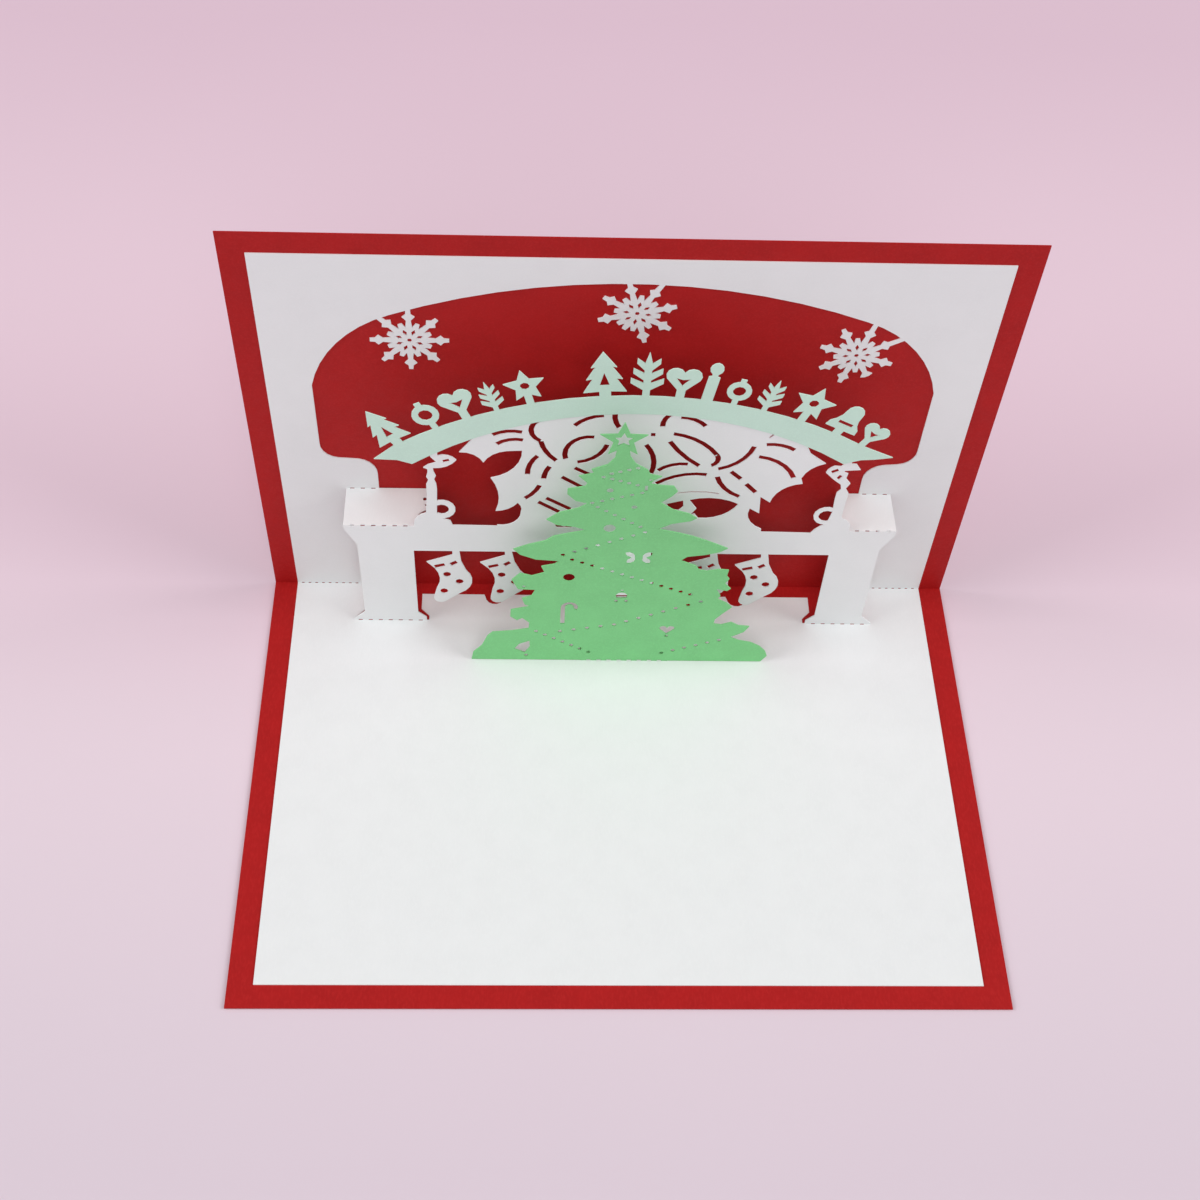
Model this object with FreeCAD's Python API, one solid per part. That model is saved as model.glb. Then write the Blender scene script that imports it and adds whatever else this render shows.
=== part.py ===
import FreeCAD, Part
import math
import os
from FreeCAD import Vector

# A pop-up greeting card that stands open: a red folded cover, a white laser-cut inner sheet
# whose fireplace folds out of it, a mint ribbon, a green tree, and the strip that ties the tree.
# X runs along the spine, Y from the open edge of the base to the spine, Z up.
# The origin is the middle of the face that the card rests on. Lengths are in millimetres.

# Card
CARD_WIDTH = 150.0
CARD_DEPTH = 100.0
OPEN_ANGLE = 92.0
COVER_THICKNESS = 0.3
SHEET_THICKNESS = 0.25
COVER_MARGIN = 5.0

# Fireplace, folded out of the inner sheet
MANTEL_DEPTH = 10.0
MANTEL_HEIGHT = 32.0
MANTEL_WIDTH = 114.6
MANTEL_MIDDLE = 0.6
HEARTH_WIDTH = 87.5
HEARTH_MIDDLE = 1.2
LINTEL_HEIGHT = 7.8
LINTEL_RISE = 0.7
LINTEL_FALL = 0.9
FLARE = 2.5
FOOT_FLARE = 1.8
PLINTH_HEIGHT = 3.0
CAPITAL_HEIGHT = 6.0
CAPITAL_EDGE = 1.0
SHELF_FOLD = 6.8
SHELF_SLANT = 1.1
TONGUE_EDGE = 3.0
KERF = 0.5

# Arched window that the fireplace leaves in the back half, inside the sheet's edges
CROWN_BORDER = 5.7
SIDE_BORDER = 8.9
CROWN_FALL = 8.6
CROWN_END = 16.0
SIDE_FALL = 27.3

# Snowflakes on the edge of the arch: x, drop below the edge, turn, and arms of another length
SNOWFLAKES = (
    (-41.5, 7.7, 0.0, {2: 9.0, 3: 9.0}),
    (1.3, 7.3, 14.0, {1: 9.2, 2: 9.0, 5: 4.6}),
    (44.1, 9.0, 28.0, {0: 10.6, 1: 9.8, 6: 6.2}),
)
FLAKE_RADIUS = 7.5
FLAKE_ARMS = 8

# Ornaments on the front panel; each stocking has the x of its hanger and the lean of its toe
STOCKINGS = ((-33.8, 0.0), (-22.8, 0.08), (20.5, 0.08), (31.3, 0.08))
CANDLE_LEFT = -38.3
CANDLE_RIGHT = 44.2
SAUCER = 3.8
STEM = 1.2
SLIT_WIDTH = 1.1
BACKING_WIDTH = 2.2
BACKING_DEPTH = 2.7

# Mint ribbon with a row of ornaments
RIBBON_THICKNESS = 0.25
RIBBON_RADIUS = 83.0
RIBBON_RISE = 39.0
RIBBON_MIDDLE = 2.0
RIBBON_WIDTH = 4.8
RIBBON_END_WIDTH = 6.0
MOTIF_ROOT = 0.6

# Green tree
TREE_THICKNESS = 0.25
TREE_DISTANCE = 20.3
TREE_TAB_LEFT = -7.0
TREE_TAB_RIGHT = 12.0
TREE_TAB_DEPTH = 7.0
STAR_CENTRE = (-1.1, 69.6)
STAR_RADIUS = 4.7
GARLAND_HOLE = 0.55

# Paper strip that ties the back of the tree to the lintel
LINK_THICKNESS = 0.25
LINK_WIDTH = 12.0
LINK_MIDDLE = 1.0
LINK_TAB = 4.0
LINK_DROP = 5.0

# Cuts and folds
CUT_SAG = 0.06
FOLD_STUB = 0.4
PERFORATION = 0.45
PERFORATED_SHARE = 0.42
SPINE_PITCH = 1.5
FOLD_PITCH = 2.2

# Places worked out from the sizes
LEAN = math.radians(OPEN_ANGLE - 90.0)
HALF_SHEET = SHEET_THICKNESS / 2
SHEET_MID = COVER_THICKNESS + HALF_SHEET
CORNER_RUN = SHEET_MID * math.tan(math.radians(90.0 - OPEN_ANGLE / 2))
SPINE_Y = CARD_DEPTH / 2 - CORNER_RUN
SHEET_HALF_WIDTH = CARD_WIDTH / 2 - COVER_MARGIN
SHEET_DEPTH = CARD_DEPTH - COVER_MARGIN
ARCH_HEIGHT = SHEET_DEPTH - CROWN_BORDER
ARCH_SIDE = SHEET_HALF_WIDTH - SIDE_BORDER
MANTEL_HALF = MANTEL_WIDTH / 2
COLUMN_OUTER = MANTEL_HALF - FLARE
COLUMN_INNER = HEARTH_WIDTH / 2
LINTEL_BOTTOM = MANTEL_HEIGHT - LINTEL_HEIGHT
SHELF_INNER = (CANDLE_LEFT - SAUCER, CANDLE_RIGHT + SAUCER)


def across(middle, half, height):
    """Left and right point of an outline, as far from its middle as each other."""
    return ((middle - half, height), (middle + half, height))


def circle_centre(a, b, c):
    """Centre of the circle through three points."""
    doubled = 2 * (a[0] * (b[1] - c[1]) + b[0] * (c[1] - a[1]) + c[0] * (a[1] - b[1]))
    squares = [point[0] ** 2 + point[1] ** 2 for point in (a, b, c)]
    x = squares[0] * (b[1] - c[1]) + squares[1] * (c[1] - a[1]) + squares[2] * (a[1] - b[1])
    y = squares[0] * (c[0] - b[0]) + squares[1] * (a[0] - c[0]) + squares[2] * (b[0] - a[0])
    return (x / doubled, y / doubled)


def arc(start, through, end):
    """Points along the arc after its start, close enough for the cut to look round."""
    x, y = circle_centre(start, through, end)
    radius = math.dist((x, y), start)
    first, middle, last = (math.atan2(point[1] - y, point[0] - x) for point in (start, through, end))
    turn = (last - first) % (2 * math.pi)
    if (middle - first) % (2 * math.pi) > turn:
        turn -= 2 * math.pi
    count = max(2, math.ceil(abs(turn) / (2 * math.acos(1 - CUT_SAG / radius))))
    return [(x + radius * math.cos(first + turn * index / count),
             y + radius * math.sin(first + turn * index / count)) for index in range(1, count)] + [end]


def trace(*steps):
    """Face inside a closed outline: a step is a point, or (through, end) for an arc."""
    points = [steps[0]]
    for step in steps[1:]:
        points += arc(points[-1], *step) if isinstance(step[0], tuple) else [step]
    corners = [Vector(*point, 0) for point in points]
    corners = [corner for index, corner in enumerate(corners) if not corner.isEqual(corners[index - 1], 1e-6)]
    face = Part.Face(Part.Plane(Vector(0, 0, 0), Vector(0, 0, 1)), Part.makePolygon(corners + corners[:1]))
    face.validate()
    return face


def two_sided(pairs):
    """Face inside an outline of straight lines that is given as pairs of a left and a right point."""
    return trace(*(right for left, right in pairs), *(left for left, right in reversed(pairs)))


def symmetric(points):
    """Face inside an outline of straight lines whose right half is given from the middle."""
    return two_sided([across(0.0, x, y) for x, y in points])


def regular(centre, radius, corners, turn=0.0):
    """Face of a small regular polygon, for holes too small to show as round."""
    step = 2 * math.pi / corners
    start = math.radians(turn)
    return trace(*((centre[0] + radius * math.cos(start + step * index),
                    centre[1] + radius * math.sin(start + step * index))
                   for index in range(corners)))


def star(centre, radius, waist):
    """Face of a five-pointed star."""
    points = []
    for index in range(10):
        reach = radius if index % 2 == 0 else waist
        angle = math.pi * (0.5 + index / 5)
        points.append((centre[0] + reach * math.cos(angle), centre[1] + reach * math.sin(angle)))
    return trace(*points)


def slit(*points, width=SLIT_WIDTH):
    """Face of a narrow band along a straight line of two points or an arc through three."""
    if len(points) == 2:
        (x0, y0), (x1, y1) = points
        length = math.hypot(x1 - x0, y1 - y0)
        side = ((y0 - y1) / length * width / 2, (x1 - x0) / length * width / 2)
        return trace((x0 + side[0], y0 + side[1]), (x1 + side[0], y1 + side[1]),
                     (x1 - side[0], y1 - side[1]), (x0 - side[0], y0 - side[1]))
    centre = circle_centre(*points)
    radius = math.dist(centre, points[0])

    def at(point, distance):
        scale = distance / radius
        return (centre[0] + (point[0] - centre[0]) * scale, centre[1] + (point[1] - centre[1]) * scale)

    outer = [at(point, radius + width / 2) for point in points]
    inner = [at(point, radius - width / 2) for point in points]
    return trace(outer[0], (outer[1], outer[2]), inner[2], (inner[1], inner[0]))


def joined(shapes):
    """One flat face from faces that overlap."""
    faces = [face for shape in shapes for face in shape.Faces]
    return faces[0].multiFuse(faces[1:]).removeSplitter()


def pierced(face, holes):
    """The face with its holes."""
    return face.cut(holes)


def shifted(face, x, y):
    return face.translated(Vector(x, y, 0))


def upright(distance, height, offset=0.0):
    """Y and Z of a point of a leaf that stands parallel to the back, some way before the spine."""
    y = SPINE_Y - distance + height * math.sin(LEAN) - offset * math.cos(LEAN)
    z = SHEET_MID + height * math.cos(LEAN) + offset * math.sin(LEAN)
    return (y, z)


def standing(face, distance, low=-HALF_SHEET, high=HALF_SHEET):
    """Leaf cut to a face drawn in x and height, parallel to the back."""
    leaf = face.translated(Vector(0, 0, low)).extrude(Vector(0, 0, high - low))
    leaf.rotate(Vector(0, 0, 0), Vector(1, 0, 0), 180.0 - OPEN_ANGLE)
    leaf.translate(Vector(0, SPINE_Y - distance, SHEET_MID))
    return leaf


def lying(face, y, z, low=-HALF_SHEET, high=HALF_SHEET):
    """Leaf cut to a face drawn in x and y, parallel to the base."""
    return face.translated(Vector(0, y, z + low)).extrude(Vector(0, 0, high - low))


def folded(line, low, high, x_low, x_high):
    """Paper of the same width all along, bent at each corner of a line drawn in y and z."""
    normals = []
    for (y0, z0), (y1, z1) in zip(line, line[1:]):
        length = math.hypot(y1 - y0, z1 - z0)
        normals.append(((z0 - z1) / length, (y1 - y0) / length))
    before = normals[:1] + normals
    after = normals + normals[-1:]
    sides = {low: [], high: []}
    for (y, z), a, b in zip(line, before, after):
        stretch = 1 + a[0] * b[0] + a[1] * b[1]
        for offset, side in sides.items():
            side.append(Vector(x_low, y + (a[0] + b[0]) / stretch * offset,
                               z + (a[1] + b[1]) / stretch * offset))
    loop = sides[low] + sides[high][::-1]
    face = Part.Face(Part.makePolygon(loop + loop[:1]))
    return face.extrude(Vector(x_high - x_low, 0, 0))


def perforations(x_low, x_high, pitch, place):
    """Row of small cuts across a fold, centred on its stretch."""
    count = int((x_high - x_low) / pitch)
    length = pitch * PERFORATED_SHARE
    first = (x_low + x_high - (count - 1) * pitch - length) / 2
    half = PERFORATION / 2
    y, z = place
    return [Part.makeBox(length, PERFORATION, PERFORATION,
                         Vector(first + index * pitch, y - half, z - half))
            for index in range(count)]


# Arched window

def arch_side(side):
    """Window's edge on one side, from the shelf up to the crown."""
    neck = MANTEL_HALF - SHELF_FOLD
    rise = MANTEL_HEIGHT

    def at(x, y, middle=0.0):
        return (middle + side * x, y)

    return [
        at(neck, rise, MANTEL_MIDDLE),
        at(neck, rise + 4.5, MANTEL_MIDDLE),
        (at(neck + 0.9, rise + 7.4, MANTEL_MIDDLE), at(neck + 3.6, rise + 9.0, MANTEL_MIDDLE)),
        at(ARCH_SIDE - 3.4, rise + 9.3),
        (at(ARCH_SIDE - 0.8, rise + 10.8), at(ARCH_SIDE, rise + 13.5)),
        at(ARCH_SIDE, ARCH_HEIGHT - SIDE_FALL),
        (at(ARCH_SIDE - 4.6, ARCH_HEIGHT - 2 * CROWN_FALL),
         at(ARCH_SIDE - CROWN_END, ARCH_HEIGHT - CROWN_FALL)),
    ]


def arch_crown(x):
    """Height of the arch's crown at x."""
    end = ARCH_SIDE - CROWN_END
    radius = (end ** 2 + CROWN_FALL ** 2) / (2 * CROWN_FALL)
    return ARCH_HEIGHT - radius + math.sqrt(radius ** 2 - x ** 2)


def backwards(steps):
    """The same outline traced from its end to its start."""
    points = [step[1] if isinstance(step[0], tuple) else step for step in steps]
    traced = []
    for index in range(len(steps) - 1, 0, -1):
        bend = steps[index][0]
        traced.append((bend, points[index - 1]) if isinstance(bend, tuple) else points[index - 1])
    return traced


def back_window():
    """Hole in the back half, from the spine to the crown of the arch."""
    lower = [
        across(MANTEL_MIDDLE, COLUMN_OUTER, 0.0),
        across(MANTEL_MIDDLE, COLUMN_OUTER, MANTEL_HEIGHT - MANTEL_DEPTH - CAPITAL_HEIGHT),
        across(MANTEL_MIDDLE, MANTEL_HALF, MANTEL_HEIGHT - MANTEL_DEPTH - CAPITAL_EDGE),
        across(MANTEL_MIDDLE, MANTEL_HALF, MANTEL_HEIGHT),
    ]
    left = arch_side(-1)
    crown = ((0.0, ARCH_HEIGHT), left[-1][1])
    return trace(*(right_point for left_point, right_point in lower), *arch_side(1), crown,
                 *backwards(left), *(left_point for left_point, right_point in reversed(lower)))


def snowflake(x, drop, turn, lengths):
    """Star of eight barbed arms round a ring of petal-shaped holes."""
    centre = (x, arch_crown(x) - drop)
    sector = 2 * math.pi / FLAKE_ARMS

    def place(along, across, angle):
        return (centre[0] + along * math.cos(angle) - across * math.sin(angle),
                centre[1] + along * math.sin(angle) + across * math.cos(angle))

    barb = ((5.0, 0.45), (5.9, 1.2), (6.5, 0.5))
    outline = []
    holes = [regular(centre, 0.5, 6)]
    for arm in range(FLAKE_ARMS):
        angle = math.radians(turn) + arm * sector
        between = angle + sector / 2
        length = lengths.get(arm, FLAKE_RADIUS)
        profile = [point for point in barb if point[0] < length] + [(length, 0.4)]
        outline += [place(along, -across, angle) for along, across in profile]
        outline += [place(along, across, angle) for along, across in reversed(profile)]
        outline.append(place(3.3, 0.0, angle + sector / 4))
        outline += [place(4.4, -0.4, between), place(4.4, 0.4, between)]
        outline.append(place(3.3, 0.0, angle + sector * 3 / 4))
        holes.append(trace(place(1.3, 0.0, between), place(2.1, 0.42, between),
                           place(2.9, 0.0, between), place(2.1, -0.42, between)))
    return pierced(trace(*outline), holes)


def back_half():
    """Back half of the inner sheet, with its window and snowflakes."""
    sheet = trace((-SHEET_HALF_WIDTH, 0.0), (SHEET_HALF_WIDTH, 0.0),
                  (SHEET_HALF_WIDTH, SHEET_DEPTH), (-SHEET_HALF_WIDTH, SHEET_DEPTH))
    return joined([pierced(sheet, [back_window()])] + [snowflake(*flake) for flake in SNOWFLAKES])


def base_half():
    """Base half of the inner sheet, open where the columns and the stockings were cut from it."""
    sheet = trace((-SHEET_HALF_WIDTH, 0.0), (SHEET_HALF_WIDTH, 0.0),
                  (SHEET_HALF_WIDTH, -SHEET_DEPTH), (-SHEET_HALF_WIDTH, -SHEET_DEPTH))
    foot = -MANTEL_DEPTH
    plinth = foot + PLINTH_HEIGHT
    tongue = COLUMN_INNER - KERF
    opening = two_sided([
        across(HEARTH_MIDDLE, tongue, -TONGUE_EDGE), across(HEARTH_MIDDLE, tongue, plinth),
        across(HEARTH_MIDDLE, tongue - FOOT_FLARE, plinth - FOOT_FLARE),
        across(HEARTH_MIDDLE, tongue - FOOT_FLARE, foot),
        across(MANTEL_MIDDLE, MANTEL_HALF, foot), across(MANTEL_MIDDLE, MANTEL_HALF, foot + FOLD_STUB),
        across(MANTEL_MIDDLE, COLUMN_OUTER, plinth), across(MANTEL_MIDDLE, COLUMN_OUTER, 0.0)])
    notches = [trace((x - 5.6, -TONGUE_EDGE + 0.5), (x - 5.2, -TONGUE_EDGE - 0.6),
                     ((x - 3.2, -TONGUE_EDGE - 2.6), (x - 1.2, -TONGUE_EDGE - 1.6)),
                     (x + 0.8, -TONGUE_EDGE + 0.5)) for x, lean in STOCKINGS[1:]]
    return pierced(sheet, [opening] + notches)


# Front panel, drawn in x and height above its foot

def fireplace_front():
    """Two columns with plinths and capitals, and the lintel between them."""
    capital = MANTEL_HEIGHT - CAPITAL_HEIGHT
    shelf_left, shelf_right = SHELF_INNER
    return two_sided([
        across(HEARTH_MIDDLE, COLUMN_INNER, LINTEL_BOTTOM),
        across(HEARTH_MIDDLE, COLUMN_INNER, PLINTH_HEIGHT),
        across(HEARTH_MIDDLE, COLUMN_INNER - FOOT_FLARE, PLINTH_HEIGHT - FOOT_FLARE),
        across(HEARTH_MIDDLE, COLUMN_INNER - FOOT_FLARE, 0.0),
        across(MANTEL_MIDDLE, MANTEL_HALF, 0.0), across(MANTEL_MIDDLE, MANTEL_HALF, FOLD_STUB),
        across(MANTEL_MIDDLE, COLUMN_OUTER, PLINTH_HEIGHT), across(MANTEL_MIDDLE, COLUMN_OUTER, capital),
        across(MANTEL_MIDDLE, MANTEL_HALF, MANTEL_HEIGHT - CAPITAL_EDGE),
        across(MANTEL_MIDDLE, MANTEL_HALF, MANTEL_HEIGHT),
        ((shelf_left, MANTEL_HEIGHT), (shelf_right, MANTEL_HEIGHT)),
        ((shelf_left, MANTEL_HEIGHT + LINTEL_RISE), (shelf_right, MANTEL_HEIGHT - LINTEL_FALL)),
    ])


def stocking(hanger, lean):
    """Stocking that hangs from the lintel by a thread of paper, toe to the left."""

    def at(x, y):
        return (x - lean * y, y)

    outline = trace(at(-0.7, 1.0), at(-0.7, -1.3), at(-6.2, -3.7), at(-4.6, -5.7),
                    (at(-3.6, -8.7), at(-4.3, -12.5)), at(-5.0, -15.4), (at(-4.2, -17.4), at(-2.4, -17.0)),
                    at(0.7, -14.2), (at(3.3, -10.2), at(2.1, -6.5)), at(1.1, -3.5), at(0.7, 1.0))
    dots = [regular(at(x, y), 0.9, 8) for x, y in ((-2.0, -7.9), (0.6, -10.3), (-2.8, -13.6))]
    cuff = [slit(at(-4.6, -5.3), at(-2.4, -4.6), width=1.1), slit(at(-1.2, -4.6), at(0.2, -3.6), width=1.1)]
    return shifted(pierced(outline, dots + cuff), hanger, LINTEL_BOTTOM)


def candle_left():
    """Candlestick with a ring handle on its saucer, its flame blown to the right."""
    top = ribbon_point(CANDLE_LEFT + STEM, BACKING_DEPTH)[1]
    body = trace((-SAUCER, -1.5), (-SAUCER, 1.2), ((-3.2, 2.9), (-STEM, 4.3)), (-0.8, 10.0), (-0.8, 13.0),
                 (-0.3, 14.3), (-0.7, 15.3), (-0.4, 16.6), (-0.4, 17.6), (-1.2, 18.0), (-0.2, 18.9),
                 (1.5, 19.6), (0.3, 21.2), (0.3, top), (1.7, top), (1.7, 21.5),
                 ((4.0, 21.5), (5.4, 20.3)), ((4.0, 18.8), (0.7, 17.9)), (0.8, 16.8), (1.2, 15.6),
                 (0.8, 14.5), (1.2, 13.2), (1.3, 11.5), (1.0, 3.4), ((2.0, 3.0), (2.6, 2.4)),
                 (3.7, 2.0), (4.1, 0.7), (4.1, -1.5))
    handle = slit((0.8, 7.2), (4.2, 5.5), (0.8, 3.8), width=1.3)
    wick = slit((2.7, 19.9), (4.0, 20.3), width=0.8)
    return shifted(pierced(joined([body, handle]), [wick]), CANDLE_LEFT, MANTEL_HEIGHT)


def candle_right():
    """Candlestick with its handle at the left, its flame leaning to the left."""
    top = ribbon_point(CANDLE_RIGHT, BACKING_DEPTH)[1]
    body = trace((-4.2, -1.5), (-4.2, -0.8), ((-2.9, 1.1), (-1.3, 2.2)), (-0.6, 6.0), (-0.7, 10.0),
                 (-0.6, 12.0), (0.1, 13.0), (-0.2, 14.5), (-1.9, 16.0), (-3.7, 18.0),
                 ((-3.1, 19.2), (-2.2, 19.9)), (-0.9, 19.8), (-0.2, 20.6), (-0.4, top), (1.2, top),
                 (1.0, 20.6), (2.1, 20.5), (3.1, 18.9), (0.0, 18.6), (0.0, 18.1), (0.8, 17.8),
                 (0.6, 16.3), (1.7, 14.8), (1.0, 13.3), (1.8, 11.8), (1.5, 5.0), (1.7, 4.1),
                 ((3.2, 3.0), (SAUCER, 0.8)), (SAUCER, -1.5))
    handle = slit((-0.5, 6.6), (-3.8, 4.7), (-0.5, 2.9), width=1.0)
    flame = [slit((-2.6, 18.1), (-1.3, 18.8), width=0.9), slit((-1.1, 16.1), (-0.5, 17.2), width=0.8)]
    return shifted(pierced(joined([body, handle]), flame), CANDLE_RIGHT, MANTEL_HEIGHT)


def ribbon_point(x, depth):
    """Point some depth inside the ribbon's upper edge, at x, above the mantel."""
    radius = RIBBON_RADIUS - depth
    return (x, RIBBON_RISE - RIBBON_RADIUS + math.sqrt(radius ** 2 - (x - RIBBON_MIDDLE) ** 2))


def swag():
    """Leafy swag with two bows and two bells above the lintel, up to the back of the ribbon."""
    outline = trace(
        (-25.0, -1.0), (-25.0, 0.8), ((-21.2, 2.0), (-20.2, 4.8)), ((-20.1, 6.5), (-20.8, 7.8)),
        ((-22.6, 6.0), (-25.3, 5.2)), ((-24.7, 10.6), (-26.2, 15.2)), ((-22.6, 17.0), (-20.0, 23.3)),
        (-23.0, 23.1), ((-25.9, 21.9), (-27.6, 19.7)), ((-29.4, 21.9), (-32.3, 22.6)), (-29.8, 26.2),
        ribbon_point(-29.0, BACKING_DEPTH),
        (ribbon_point(RIBBON_MIDDLE, BACKING_DEPTH), ribbon_point(34.0, BACKING_DEPTH)),
        (36.7, 23.4), (40.1, 20.6), ((37.4, 19.0), (35.8, 16.2)), (36.3, 14.6),
        ((32.6, 13.0), (30.4, 8.8)), (28.3, 10.5), (28.6, 5.4), (26.5, 6.9),
        ((26.8, 3.1), (29.6, 0.4)), (29.6, -1.0))
    backing = slit(ribbon_point(CANDLE_LEFT - 1.5, BACKING_DEPTH),
                   ribbon_point(RIBBON_MIDDLE, BACKING_DEPTH),
                   ribbon_point(CANDLE_RIGHT + 2.5, BACKING_DEPTH), width=BACKING_WIDTH)
    whole = pierced(joined([outline, backing]), swag_slits() + bell_mouths())
    return shifted(whole, 0, MANTEL_HEIGHT)


def swag_slits():
    """Slits that draw the folds, bows and stems of the swag, in x and height above the mantel."""
    lines = (
        ((-25.8, 27.6), (-23.0, 28.6), (-20.0, 28.4)),
        ((-25.0, 25.0), (-22.2, 26.3), (-19.8, 26.2)),
        ((-14.6, 32.5), (-18.3, 29.3), (-16.4, 26.0)),
        ((-16.4, 26.0), (-15.2, 22.8), (-13.2, 20.4)),
        ((-10.0, 30.4), (-7.5, 32.4), (-4.4, 33.3)),
        ((-2.3, 34.0), (-2.1, 31.8), (-1.3, 30.0)),
        ((-11.4, 20.9), (-10.9, 25.0), (-6.0, 27.3)),
        ((-9.1, 20.1), (-6.1, 21.3), (-3.4, 25.3)),
        ((-18.9, 16.3), (-18.4, 19.4), (-16.9, 21.8)),
        ((-15.7, 15.0), (-15.3, 17.1), (-14.5, 18.8)),
        ((-19.4, 9.1), (-17.6, 10.9), (-16.4, 13.2)),
        ((-9.6, 18.4), (-6.4, 16.4)),
        ((-12.1, 15.7), (-7.4, 12.3)),
        ((-16.7, 8.1), (-12.3, 5.0)),
        ((-15.1, 9.3), (-10.0, 5.9)),
        ((-12.7, 1.2), (-11.2, 0.0), (-9.7, 1.2)),
        ((7.0, 30.4), (7.5, 32.8), (9.2, 34.5)),
        ((10.4, 33.1), (13.1, 32.5), (15.4, 30.7)),
        ((9.3, 28.5), (14.6, 26.4), (18.3, 22.6)),
        ((18.3, 22.6), (18.6, 21.0), (17.4, 19.6)),
        ((8.7, 26.4), (11.4, 22.7), (15.1, 19.4)),
        ((4.1, 25.4), (5.8, 21.8), (5.6, 17.0)),
        ((6.9, 17.9), (9.6, 19.6), (12.8, 19.9)),
        ((6.8, 14.0), (11.2, 16.5), (16.8, 16.9)),
        ((18.9, 18.6), (22.4, 20.4), (25.4, 25.3)),
        ((27.7, 25.8), (30.8, 25.6), (33.5, 24.3)),
        ((26.6, 22.3), (31.2, 20.4), (34.3, 16.2)),
        ((21.5, 17.9), (23.8, 15.7)),
        ((24.9, 14.3), (27.2, 11.7)),
        ((18.9, 16.4), (20.8, 12.8), (24.0, 10.4)),
        ((4.9, 28.2), (5.8, 28.2)),
    )
    fine_lines = (
        ((25.0, 31.2), (28.6, 30.7), (28.0, 27.8)),
        ((11.4, 11.3), (15.7, 11.8), (19.8, 11.3)),
    )
    return [slit(*line) for line in lines] + [slit(*line, width=SLIT_WIDTH / 3) for line in fine_lines]


def bell_mouths():
    """The open mouth of the right bell, on both sides of its clapper."""
    left = trace((9.3, 8.0), (12.7, 9.1), (12.9, 7.2), (12.0, 6.0), (10.3, 6.2))
    right = trace((13.9, 9.3), ((19.5, 9.9), (24.1, 8.2)), ((21.6, 5.0), (16.2, 3.6)), (15.3, 5.0),
                  (14.3, 4.4), (15.6, 6.6))
    return [left, right]


def front_panel():
    """Everything that stands in the fireplace's front plane, as one piece of paper."""
    ornaments = [stocking(*place) for place in STOCKINGS] + [candle_left(), candle_right(), swag()]
    return joined([fireplace_front()] + ornaments)


def shelf_end(side):
    """One end of the mantel shelf, cut round a candlestick, in x and distance from its rear fold."""
    outer = MANTEL_MIDDLE + side * MANTEL_HALF
    inner = SHELF_INNER[(side + 1) // 2]
    stem = inner - side * (SAUCER - STEM)
    front = -MANTEL_DEPTH
    outline = trace((inner, front), (outer, front), (outer, 0.0),
                    (stem + SHELF_SLANT, 0.0), (stem, front + 4.4),
                    ((inner - side * 0.6, front + 2.9), (inner, front + 1.2)))
    if side > 0:
        return outline
    drops = [regular((stem - 0.7, -2.8), 0.5, 6), regular((stem - 0.4, -4.4), 0.3, 6)]
    return pierced(outline, drops)


def inner_sheet():
    """White sheet: base half, back half and the fireplace that folds out of both."""
    spine = (SPINE_Y, SHEET_MID)
    foot = (SPINE_Y - MANTEL_DEPTH, SHEET_MID)
    shelf_front = upright(MANTEL_DEPTH, MANTEL_HEIGHT)
    shelf_rear = upright(0.0, MANTEL_HEIGHT)

    def crease(*line):
        return lambda x_low, x_high: folded(line, -HALF_SHEET, HALF_SHEET, x_low, x_high)

    spine_crease = crease((spine[0] - FOLD_STUB, spine[1]), spine, upright(0.0, FOLD_STUB))
    foot_crease = crease((foot[0] - FOLD_STUB, foot[1]), foot, upright(MANTEL_DEPTH, FOLD_STUB))
    front_crease = crease(upright(MANTEL_DEPTH, MANTEL_HEIGHT - FOLD_STUB), shelf_front,
                          (shelf_front[0] + FOLD_STUB, shelf_front[1]))
    rear_crease = crease((shelf_rear[0] - FOLD_STUB, shelf_rear[1]), shelf_rear,
                         upright(0.0, MANTEL_HEIGHT + FOLD_STUB))

    outer_left, outer_right = (MANTEL_MIDDLE + side * MANTEL_HALF for side in (-1, 1))
    folds = (
        (-SHEET_HALF_WIDTH, outer_left + FLARE, spine_crease, spine, SPINE_PITCH),
        (outer_right - FLARE, SHEET_HALF_WIDTH, spine_crease, spine, SPINE_PITCH),
        (outer_left, HEARTH_MIDDLE - COLUMN_INNER + FOOT_FLARE, foot_crease, foot, FOLD_PITCH),
        (HEARTH_MIDDLE + COLUMN_INNER - FOOT_FLARE, outer_right, foot_crease, foot, FOLD_PITCH),
        (outer_left, SHELF_INNER[0], front_crease, shelf_front, FOLD_PITCH),
        (SHELF_INNER[1], outer_right, front_crease, shelf_front, FOLD_PITCH),
        (outer_left, outer_left + SHELF_FOLD, rear_crease, shelf_rear, FOLD_PITCH),
        (outer_right - SHELF_FOLD, outer_right, rear_crease, shelf_rear, FOLD_PITCH),
    )
    leaves = [
        lying(base_half(), SPINE_Y, SHEET_MID),
        standing(back_half(), 0.0),
        standing(front_panel(), MANTEL_DEPTH),
    ]
    leaves += [lying(shelf_end(side), *shelf_rear) for side in (-1, 1)]
    cuts = []
    for x_low, x_high, make_crease, place, pitch in folds:
        leaves.append(make_crease(x_low, x_high))
        cuts += perforations(x_low, x_high, pitch, place)
    return leaves[0].multiFuse(leaves[1:]).cut(cuts).removeSplitter()


def cover():
    """Red card folded once round the inner sheet."""
    line = ((-CARD_DEPTH / 2, SHEET_MID), (SPINE_Y, SHEET_MID), upright(0.0, CARD_DEPTH - CORNER_RUN))
    return folded(line, -SHEET_MID, -HALF_SHEET, -CARD_WIDTH / 2, CARD_WIDTH / 2)


# Ribbon

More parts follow.
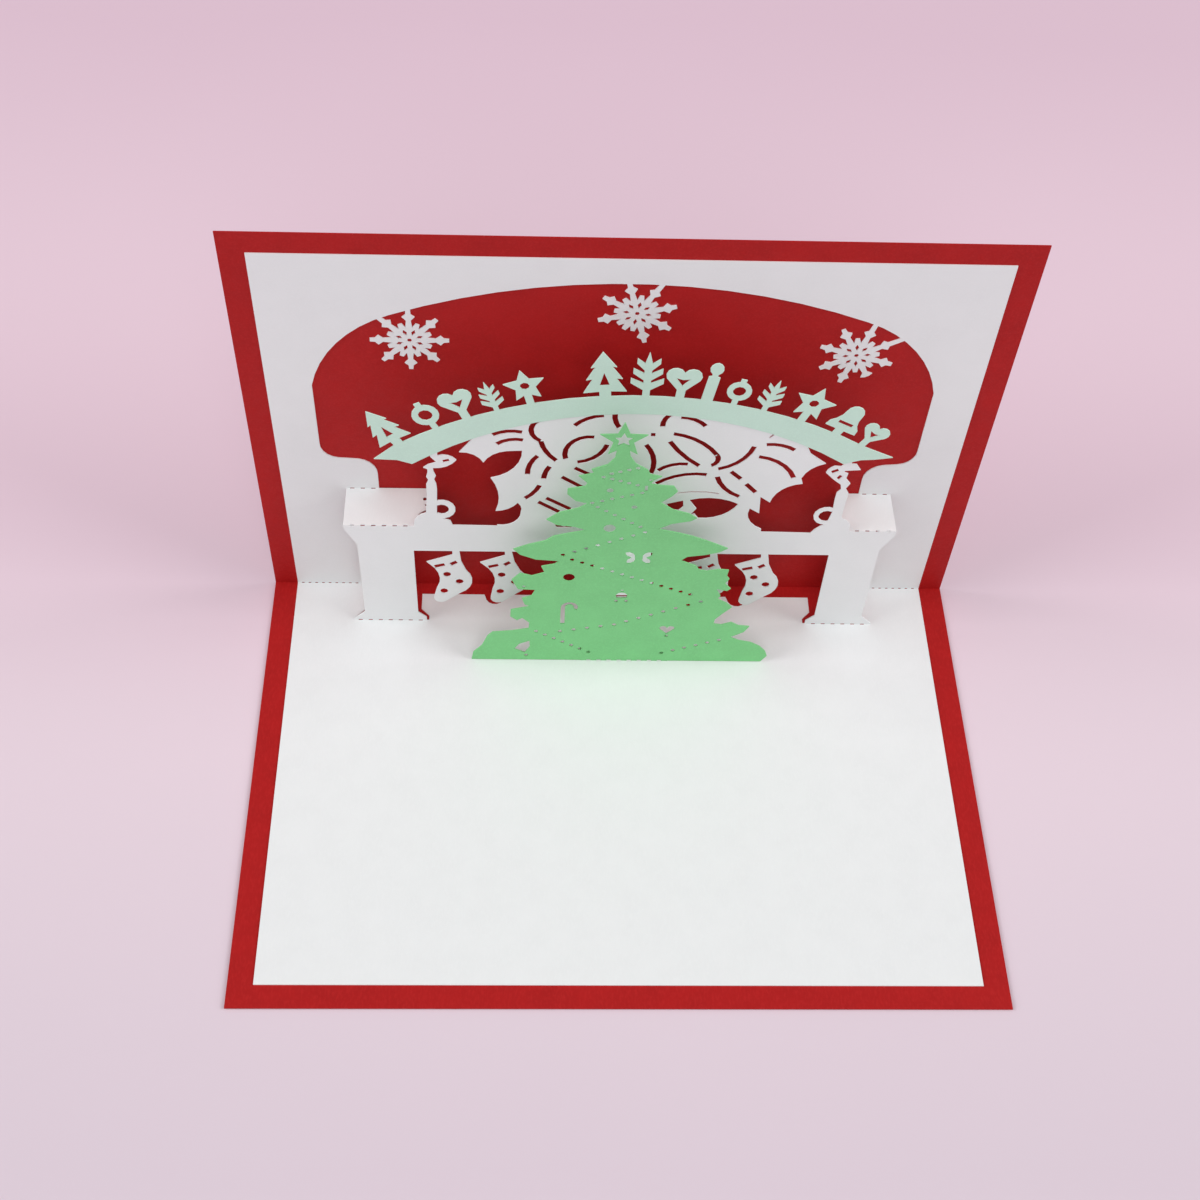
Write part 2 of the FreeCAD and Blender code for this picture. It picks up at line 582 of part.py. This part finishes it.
def sprig(size):
    """Twig with three pairs of side shoots."""
    shoots = [(0.6, -MOTIF_ROOT)]
    for height, reach in ((1.4, 2.7), (3.6, 2.4), (5.8, 1.9)):
        shoots += [(0.6, height), (reach, height + 1.5), (reach, height + 2.6), (0.6, height + 1.5)]
    shoots.append((0.0, 9.8))
    return scaled(symmetric([(x, y) for x, y in reversed(shoots)]), size)


def bauble(size):
    """Ring on a short stem, with a knob on top."""
    stem = slit((0.0, -MOTIF_ROOT), (0.0, 7.9), width=1.3)
    ring = trace((-2.8, 4.2), ((0.0, 7.0), (2.8, 4.2)), ((0.0, 1.4), (-2.8, 4.2)))
    hole = regular((0.0, 4.2), 1.5, 10)
    return scaled(pierced(joined([stem, ring]), [hole]), size)


def heart(size):
    """Heart on a short stem, with a slit."""
    body = trace((0.0, 1.0), (2.9, 4.4), ((2.3, 6.6), (0.0, 5.9)), ((-2.3, 6.6), (-2.9, 4.4)))
    stem = slit((0.0, -MOTIF_ROOT), (0.0, 2.0), width=1.5)
    hole = trace((0.0, 2.8), (1.3, 4.6), (0.0, 4.3), (-1.3, 4.6))
    return scaled(pierced(joined([body, stem]), [hole]), size)


def star_motif(size):
    """Five-pointed star on a short stem, with a round hole."""
    stem = slit((0.0, -MOTIF_ROOT), (0.0, 3.0), width=1.4)
    return scaled(pierced(joined([star((0.0, 4.6), 3.9, 1.9), stem]), [regular((0.0, 4.6), 0.9, 8)]), size)


def fir(size):
    """Small tree of three tiers, with a slot in its trunk."""
    tiers = [(1.0, -MOTIF_ROOT), (1.0, 1.2), (3.7, 1.0), (2.0, 4.2), (3.1, 4.0), (1.4, 7.0), (2.2, 6.8),
             (0.0, 10.4)]
    slot = trace((-0.9, 2.6), (0.9, 2.6), (0.0, 5.6))
    return scaled(pierced(symmetric(tiers[::-1]), [slot]), size)


def taper(size):
    """Plain candle with its flame."""
    body = trace((-1.1, -MOTIF_ROOT), (1.1, -MOTIF_ROOT), (1.1, 6.2), (0.5, 6.4), (0.6, 7.0),
                 ((1.3, 8.2), (0.0, 9.8)), ((-1.3, 8.2), (-0.6, 7.0)), (-0.5, 6.4), (-1.1, 6.2))
    return scaled(body, size)


def bell(size):
    """Bell that stands on its clapper."""
    body = trace((-0.8, -MOTIF_ROOT), (0.8, -MOTIF_ROOT), (0.8, 1.2), (3.1, 1.2), (2.9, 2.4),
                 ((1.9, 3.8), (1.6, 5.6)), ((0.0, 7.4), (-1.6, 5.6)), ((-1.9, 3.8), (-2.9, 2.4)),
                 (-3.1, 1.2), (-0.8, 1.2))
    return scaled(pierced(body, [slit((-1.5, 2.9), (1.5, 2.9), width=0.8)]), size)


def scaled(face, size):
    """The motif at another size, grown from its root."""
    return face.scaled(size, Vector(0, 0, 0)) if size != 1.0 else face


def motif_row():
    """Two groups of ornaments that stand on the ribbon's upper edge, each with its x and size."""
    motifs = (
        (-44.0, fir, 1.0), (-36.6, bauble, 0.95), (-30.6, heart, 1.1), (-24.8, sprig, 0.8),
        (-18.4, star_motif, 1.05), (-4.4, fir, 1.1), (3.2, sprig, 1.15), (9.6, heart, 1.1),
        (14.8, taper, 1.0), (20.0, bauble, 0.85),
        (25.9, sprig, 0.85), (33.4, star_motif, 1.1), (40.7, bell, 1.1), (46.2, heart, 0.9),
    )
    centre = Vector(RIBBON_MIDDLE, RIBBON_RISE - RIBBON_RADIUS, 0)
    faces = []
    for x, motif, size in motifs:
        face = shifted(motif(size), RIBBON_MIDDLE, RIBBON_RISE)
        face.rotate(centre, Vector(0, 0, 1), -math.degrees(math.asin((x - RIBBON_MIDDLE) / RIBBON_RADIUS)))
        faces.append(face)
    return faces


def ribbon():
    """Mint ribbon glued to the top of the front panel, with its row of ornaments."""
    left = ribbon_point(-45.0, 0.0)
    right = ribbon_point(47.0, 0.0)

    def beside(point, x, y):
        return (point[0] + x, point[1] + y)

    band = trace(
        left, (ribbon_point(RIBBON_MIDDLE, 0.0), right),
        beside(right, 6.0, -2.9), beside(right, 2.5, -3.5), beside(right, -0.2, -3.7),
        ribbon_point(43.5, RIBBON_END_WIDTH),
        (ribbon_point(RIBBON_MIDDLE, RIBBON_WIDTH), ribbon_point(-38.5, RIBBON_END_WIDTH)),
        beside(left, 3.4, -5.1), beside(left, 0.5, -4.0), beside(left, -4.0, -3.8))
    face = shifted(joined([band] + motif_row()), 0, MANTEL_HEIGHT)
    return standing(face, MANTEL_DEPTH, HALF_SHEET, HALF_SHEET + RIBBON_THICKNESS)


# Tree, drawn in x and height above its foot

def tree_outline():
    """Tiers of the tree with their ragged ends, from the right of the foot round to the left."""
    return trace(
        (32.4, 0.0), (33.6, 2.0), (33.0, 3.8), (31.6, 5.5), (29.5, 6.9), (26.8, 7.6), (24.8, 8.7),
        (27.6, 10.6), (28.6, 12.6), (26.2, 12.9), (24.6, 14.0), (22.5, 13.1), (20.9, 13.4),
        (21.0, 15.0), (22.4, 17.0), (24.2, 19.2), (23.0, 20.6), (20.9, 22.0), (21.4, 23.1),
        (20.4, 25.3), (22.6, 24.8), (23.3, 25.5), (21.9, 27.2), (22.7, 28.7), (22.1, 29.7),
        (22.3, 31.6), (20.2, 31.8), (17.8, 31.2), (16.2, 31.6), (15.5, 32.9), (12.2, 34.5),
        (13.5, 35.8), (17.0, 36.4), (19.8, 37.3), (21.4, 38.5), (19.2, 39.7), (16.8, 40.9),
        (14.0, 42.2), (11.0, 43.2), (6.9, 44.3), (9.5, 45.9), (13.2, 46.8), (14.4, 47.7),
        (12.8, 49.0), (9.6, 50.1), (6.9, 52.2), (8.9, 54.0), (10.0, 55.5), (9.2, 57.0),
        (6.8, 57.2), (4.6, 57.5), (5.2, 58.6), (6.7, 59.7), (4.4, 60.3), (3.9, 61.5), (1.5, 63.2),
        (0.4, 65.2), (0.0, 68.0), (-2.1, 68.0), (-2.5, 64.8), (-3.8, 62.9), (-6.8, 61.5),
        (-6.3, 60.4), (-9.2, 59.6), (-7.4, 57.6), (-7.8, 56.7), (-11.2, 55.9), (-11.2, 54.4),
        (-9.5, 52.4), (-7.0, 51.7), (-9.0, 50.3), (-12.6, 49.0), (-15.1, 46.8), (-13.0, 45.2),
        (-9.5, 44.7), (-7.0, 43.7), (-10.4, 42.8), (-13.6, 41.8), (-15.3, 40.3), (-18.6, 39.1),
        (-21.6, 37.6), (-20.2, 35.9), (-17.0, 34.4), (-12.3, 34.0), (-13.2, 33.0), (-15.9, 32.2),
        (-15.2, 30.2), (-17.8, 29.1), (-20.2, 29.9), (-21.9, 27.8), (-20.6, 24.7), (-17.0, 24.5),
        (-17.8, 22.5), (-19.8, 21.6), (-19.2, 19.5), (-17.9, 18.9), (-22.1, 17.7), (-22.2, 15.4),
        (-20.8, 14.1), (-19.7, 14.9), (-18.2, 13.3), (-18.3, 11.2), (-22.0, 10.3), (-26.0, 9.8),
        (-27.1, 8.4), (-28.3, 5.0), (-30.2, 2.5), (-30.6, 0.0))


def garland_holes():
    """Small holes in zig-zag rows."""
    rows = (
        ((-16.7, 10.2), (-5.3, 2.9), 7), ((-11.6, 10.3), (-0.2, 12.8), 5), ((2.3, 14.0), (17.5, 21.0), 7),
        ((15.1, 23.4), (-9.7, 34.4), 13), ((-11.6, 35.9), (4.5, 43.2), 8), ((3.5, 44.8), (-5.2, 50.6), 6),
        ((-6.3, 51.8), (3.2, 54.9), 6), ((-4.4, 59.3), (2.2, 57.1), 5), ((-2.9, 60.3), (2.0, 61.9), 4),
        ((10.5, 2.8), (22.6, 7.6), 6),
    )
    holes = []
    for (x0, y0), (x1, y1), count in rows:
        for index in range(count):
            share = index / (count - 1)
            holes.append(regular((x0 + (x1 - x0) * share, y0 + (y1 - y0) * share), GARLAND_HOLE, 5))
    return holes


def tree_ornaments():
    """Cut-outs of a candy cane, a bow, a heart, bells and balls."""
    cane = [slit((-11.2, 13.0), (-11.2, 18.6), width=0.9),
            slit((-11.2, 18.5), (-9.9, 20.0), (-8.6, 18.0), width=0.9)]
    balls = [regular((x, y), radius, corners) for x, y, radius, corners in (
        (-10.2, 28.7, 1.25, 12), (-2.6, 44.3, 1.25, 12), (-3.0, 55.5, 0.75, 8), (1.9, 50.7, 0.65, 8),
        (11.1, 9.0, 0.5, 6), (-18.8, 1.6, 0.5, 6), (0.9, 24.5, 0.4, 6), (-0.2, 21.0, 0.45, 6),
        (1.9, 21.0, 0.45, 6), (-19.4, 25.5, 0.45, 6), (4.6, 58.6, 0.4, 6))]
    bow = []
    for side in (-1, 1):
        for far_x, far_y in ((2.7, 1.7), (2.3, -1.9)):
            near = (3.7 + side * 0.8, 35.3)
            far = (3.7 + side * far_x, 35.3 + far_y)
            bow.append(petal(near, far, 1.5))
    heart_hole = trace((11.1, 9.7), (12.7, 11.4), ((12.1, 12.5), (11.1, 11.8)), ((10.1, 12.5), (9.5, 11.4)))
    bells = [trace((-0.1, 22.0), (1.8, 22.0), ((1.7, 23.6), (0.85, 23.9)), ((0.0, 23.6), (-0.1, 22.0))),
             trace((-21.4, 3.8), (-20.3, 5.7), (-18.1, 6.8), (-18.0, 4.6), (-19.1, 2.5))]
    slot = [slit((3.9, 55.5), (3.9, 57.1), width=0.6)]
    star_hole = [star(STAR_CENTRE, STAR_RADIUS * 0.42, STAR_RADIUS * 0.2)]
    return cane + balls + bow + [heart_hole] + bells + slot + star_hole


def petal(near, far, width):
    """Pointed oval between two points."""
    x0, y0 = near
    x1, y1 = far
    length = math.dist(near, far)
    side_x = (y0 - y1) / length * width / 2
    side_y = (x1 - x0) / length * width / 2
    middle_x = x0 * 0.4 + x1 * 0.6
    middle_y = y0 * 0.4 + y1 * 0.6
    return trace(near, ((middle_x + side_x, middle_y + side_y), far),
                 ((middle_x - side_x, middle_y - side_y), near))


def tree():
    """Green tree that stands on a tab folded back and glued to the base."""
    half = TREE_THICKNESS / 2
    tab_z = SHEET_MID + HALF_SHEET + half
    foot_y = SPINE_Y - TREE_DISTANCE
    whole = joined([tree_outline(), star(STAR_CENTRE, STAR_RADIUS, STAR_RADIUS * 0.42)])
    face = pierced(whole, garland_holes() + tree_ornaments())
    leaf = standing(face, TREE_DISTANCE, -half, half)
    leaf.translate(Vector(0, 0, tab_z - SHEET_MID))
    fold_top = (foot_y + FOLD_STUB * math.sin(LEAN), tab_z + FOLD_STUB * math.cos(LEAN))
    tab = folded(((foot_y + TREE_TAB_DEPTH, tab_z), (foot_y, tab_z), fold_top), -half, half,
                 TREE_TAB_LEFT, TREE_TAB_RIGHT)
    cuts = perforations(TREE_TAB_LEFT, TREE_TAB_RIGHT, FOLD_PITCH, (foot_y, tab_z))
    return leaf.fuse(tab).cut(cuts).removeSplitter()


def tree_link():
    """Strip folded twice, glued to the lintel above and to the back of the tree below."""
    half = LINK_THICKNESS / 2
    lintel_offset = HALF_SHEET + half
    tree_lift = HALF_SHEET + TREE_THICKNESS / 2
    tree_offset = -(TREE_THICKNESS / 2 + half)
    lintel_fold = upright(MANTEL_DEPTH, MANTEL_HEIGHT - LINK_DROP, lintel_offset)
    height = (lintel_fold[1] - SHEET_MID - tree_lift - tree_offset * math.sin(LEAN)) / math.cos(LEAN)

    def behind_tree(fold_height):
        y, z = upright(TREE_DISTANCE, fold_height, tree_offset)
        return (y, z + tree_lift)

    line = (upright(MANTEL_DEPTH, MANTEL_HEIGHT - LINK_DROP + LINK_TAB, lintel_offset), lintel_fold,
            behind_tree(height), behind_tree(height - LINK_TAB))
    return folded(line, -half, half, LINK_MIDDLE - LINK_WIDTH / 2, LINK_MIDDLE + LINK_WIDTH / 2)


os.makedirs("parts", exist_ok=True)
for name, make in (("cover", cover), ("inner_sheet", inner_sheet), ("ribbon", ribbon),
                   ("tree", tree), ("tree_link", tree_link)):
    solid = make()
    solid.exportStep("parts/" + name + ".step")
    print(name, len(solid.Solids), "solid, valid", solid.isValid(), "volume", round(solid.Volume, 2),
          "faces", len(solid.Faces))
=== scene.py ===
import math

import bpy
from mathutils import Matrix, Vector

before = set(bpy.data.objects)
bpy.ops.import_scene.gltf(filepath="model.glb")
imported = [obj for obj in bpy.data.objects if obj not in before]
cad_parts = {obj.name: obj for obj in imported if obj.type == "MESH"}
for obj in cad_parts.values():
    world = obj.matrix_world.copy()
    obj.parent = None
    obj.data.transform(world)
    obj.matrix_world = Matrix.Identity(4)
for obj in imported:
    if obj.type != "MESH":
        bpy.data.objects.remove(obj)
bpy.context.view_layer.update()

# The camera that took the photograph, fitted to the corners of the card
CAMERA_PLACE = (-0.01902, -0.17079, 0.30036)
CAMERA_TURN = (36.5106, -1.909, -0.6857)
CAMERA_LENS = 49.558
CAMERA_SHIFT = (0.01518, -0.01736)

# Colours in linear light
RED = (0.405, 0.007, 0.0075)
WHITE = (0.81, 0.815, 0.825)
MINT = (0.585, 0.78, 0.675)
GREEN = (0.21, 0.59, 0.24)

# Grain of the papers: noise scales, the range that a noise mostly keeps to, and a height in metres
CLOUD_SCALE = 180.0
FIBRE_SCALE = 2600.0
SHINE_SCALE = 900.0
GRAIN_SCALE = 3400.0
GRAIN_HEIGHT = 0.00004
NOISE_LOW = 0.3
NOISE_HIGH = 0.7

# Floor: half its width, how far it lies below the card, and how its tone drifts, in metres
FLOOR_REACH = 3.0
FLOOR_DROP = 0.0002
FLOOR_DRIFT = 0.04
FLOOR_PATCH_SCALE = 9.0

# Floor tones from the near edge to the far one, each with its Y in metres; the dip at Y 0.075 is painted
# shade, a darker band across the floor by the standing half of the card
FLOOR_TONES_AND_SHADE = (
    (-0.08, (0.69, 0.58, 0.66)),
    (0.02, (0.815, 0.668, 0.742)),
    # Painted shade: the darker band by the standing half of the card
    (0.075, (0.76, 0.545, 0.65)),
    (0.14, (0.80, 0.61, 0.70)),
    (0.26, (0.695, 0.495, 0.60)),
)

# Lamps: the direction that each shines from, how soft it is in degrees, and its strength
LAMPS = {
    "lamp_left": ((-1.4, -0.16, 0.81), 40.0, 1.68),
    "lamp_right": ((1.4, -0.16, 0.81), 40.0, 1.68),
    "lamp_front": ((0.0, -0.92, 0.92), 36.0, 0.86),
}
SKY = (0.93, 0.95, 0.94)
SKY_STRENGTH = 0.3


def camera():
    """Camera at the place from which the photograph was taken."""
    data = bpy.data.cameras.new("photo_view")
    data.lens = CAMERA_LENS
    data.sensor_width = 36.0
    data.shift_x, data.shift_y = CAMERA_SHIFT
    data.clip_start = 0.01
    view = bpy.data.objects.new("photo_view", data)
    view.location = CAMERA_PLACE
    view.rotation_euler = [math.radians(angle) for angle in CAMERA_TURN]
    bpy.context.scene.collection.objects.link(view)
    bpy.context.scene.camera = view


def paper(name, colour, clouds, fibres, roughness=0.7, gloss=0.3):
    """Paper with soft clouds of tone, fine fibres and a slightly rough face."""
    material = bpy.data.materials.new(name)
    material.use_nodes = True
    nodes, links = material.node_tree.nodes, material.node_tree.links
    shader = nodes["Principled BSDF"]
    shader.inputs["Specular IOR Level"].default_value = gloss
    place = nodes.new("ShaderNodeTexCoord").outputs["Object"]

    def noise(scale, detail=2.0, stretch=None):
        node = nodes.new("ShaderNodeTexNoise")
        node.inputs["Scale"].default_value = scale
        node.inputs["Detail"].default_value = detail
        source = place
        if stretch is not None:
            mapping = nodes.new("ShaderNodeMapping")
            mapping.inputs["Scale"].default_value = stretch
            links.new(place, mapping.inputs["Vector"])
            source = mapping.outputs["Vector"]
        links.new(source, node.inputs["Vector"])
        return node.outputs["Fac"]

    def spread(source, low, high):
        node = nodes.new("ShaderNodeMapRange")
        node.inputs["From Min"].default_value = NOISE_LOW
        node.inputs["From Max"].default_value = NOISE_HIGH
        node.inputs["To Min"].default_value = low
        node.inputs["To Max"].default_value = high
        links.new(source, node.inputs["Value"])
        return node.outputs["Result"]

    # The A and B sockets of a colour mix come after those of numbers and vectors
    def mixed_colour(factor, a, b):
        node = nodes.new("ShaderNodeMix")
        node.data_type = "RGBA"
        sockets = [socket for socket in node.inputs if socket.type == "RGBA"]
        links.new(factor, node.inputs[0])
        for value, socket in zip((a, b), sockets):
            if isinstance(value, bpy.types.NodeSocket):
                links.new(value, socket)
            else:
                socket.default_value = (*value, 1.0)
        return [socket for socket in node.outputs if socket.type == "RGBA"][0]

    darker = tuple(channel * (1 - clouds) for channel in colour)
    lighter = tuple(min(channel * (1 + clouds / 2), 0.9) for channel in colour)
    cloudy = mixed_colour(spread(noise(CLOUD_SCALE, 3.0), 0.0, 1.0), darker, lighter)
    fibre_tone = tuple(min(channel * (1 + fibres) + fibres * 0.03, 0.92) for channel in colour)
    fibre = spread(noise(FIBRE_SCALE, 4.0, (1.0, 0.35, 1.0)), -0.4, 0.6)
    links.new(mixed_colour(fibre, cloudy, fibre_tone), shader.inputs["Base Color"])
    links.new(spread(noise(SHINE_SCALE), roughness - 0.06, roughness + 0.06), shader.inputs["Roughness"])

    bump = nodes.new("ShaderNodeBump")
    bump.inputs["Strength"].default_value = 0.25
    bump.inputs["Distance"].default_value = GRAIN_HEIGHT
    links.new(noise(GRAIN_SCALE, 3.0), bump.inputs["Height"])
    links.new(bump.outputs["Normal"], shader.inputs["Normal"])
    return material


def dress(node, material):
    """The same material on every face of a CAD node."""
    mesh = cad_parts[node].data
    mesh.materials.clear()
    mesh.materials.append(material)


def floor():
    """Wide pale sheet under the card, its tone drifting softly with depth, with a band of painted shade
    by the standing half of the card.
    """
    mesh = bpy.data.meshes.new("floor")
    corners = [(x * FLOOR_REACH, y * FLOOR_REACH, -FLOOR_DROP)
               for x, y in ((-1, -1), (1, -1), (1, 1), (-1, 1))]
    mesh.from_pydata(corners, [], [(0, 1, 2, 3)])
    table = bpy.data.objects.new("floor", mesh)
    bpy.context.scene.collection.objects.link(table)
    material = bpy.data.materials.new("floor_paper")
    material.use_nodes = True
    nodes, links = material.node_tree.nodes, material.node_tree.links
    shader = nodes["Principled BSDF"]
    shader.inputs["Roughness"].default_value = 0.9
    shader.inputs["Specular IOR Level"].default_value = 0.1
    place = nodes.new("ShaderNodeTexCoord").outputs["Object"]
    split = nodes.new("ShaderNodeSeparateXYZ")
    links.new(place, split.inputs["Vector"])
    mottle = nodes.new("ShaderNodeTexNoise")
    mottle.inputs["Scale"].default_value = FLOOR_PATCH_SCALE
    links.new(place, mottle.inputs["Vector"])
    drift = nodes.new("ShaderNodeMath")
    drift.operation = "MULTIPLY_ADD"
    drift.inputs[1].default_value = FLOOR_DRIFT
    links.new(mottle.outputs["Fac"], drift.inputs[0])
    links.new(split.outputs["Y"], drift.inputs[2])
    near, far = FLOOR_TONES_AND_SHADE[0][0], FLOOR_TONES_AND_SHADE[-1][0]
    depth = nodes.new("ShaderNodeMapRange")
    depth.inputs["From Min"].default_value = near + FLOOR_DRIFT / 2
    depth.inputs["From Max"].default_value = far + FLOOR_DRIFT / 2
    links.new(drift.outputs["Value"], depth.inputs["Value"])
    ramp = nodes.new("ShaderNodeValToRGB")
    ramp.color_ramp.interpolation = "B_SPLINE"
    elements = ramp.color_ramp.elements
    while len(elements) < len(FLOOR_TONES_AND_SHADE):
        elements.new(0.5)
    for element, (y, tone) in zip(elements, FLOOR_TONES_AND_SHADE):
        element.position = (y - near) / (far - near)
        element.color = (*tone, 1.0)
    links.new(depth.outputs["Result"], ramp.inputs["Fac"])
    links.new(ramp.outputs["Color"], shader.inputs["Base Color"])
    mesh.materials.append(material)


def soft_lamp(name, place, softness, strength):
    """Broad even light from the side where the lamp is placed."""
    data = bpy.data.lights.new(name, "SUN")
    data.angle = math.radians(softness)
    data.energy = strength
    lamp = bpy.data.objects.new(name, data)
    lamp.location = place
    lamp.rotation_euler = (-Vector(place)).to_track_quat("-Z", "Y").to_euler()
    bpy.context.scene.collection.objects.link(lamp)


def studio():
    """Two lamps at the sides, a weaker one in front and a pale sky."""
    for name, (place, softness, strength) in LAMPS.items():
        soft_lamp(name, place, softness, strength)
    world = bpy.data.worlds.new("studio")
    world.use_nodes = True
    sky = world.node_tree.nodes["Background"]
    sky.inputs["Color"].default_value = (*SKY, 1.0)
    sky.inputs["Strength"].default_value = SKY_STRENGTH
    bpy.context.scene.world = world


camera()
floor()
studio()
bpy.context.scene.view_settings.view_transform = "Standard"

white = paper("white_paper", WHITE, clouds=0.015, fibres=0.02)
dress("cover", paper("red_card", RED, clouds=0.07, fibres=0.16, roughness=0.6, gloss=0.22))
dress("inner_sheet", white)
dress("tree_link", white)
dress("ribbon", paper("mint_paper", MINT, clouds=0.03, fibres=0.05))
dress("tree", paper("green_paper", GREEN, clouds=0.05, fibres=0.10))
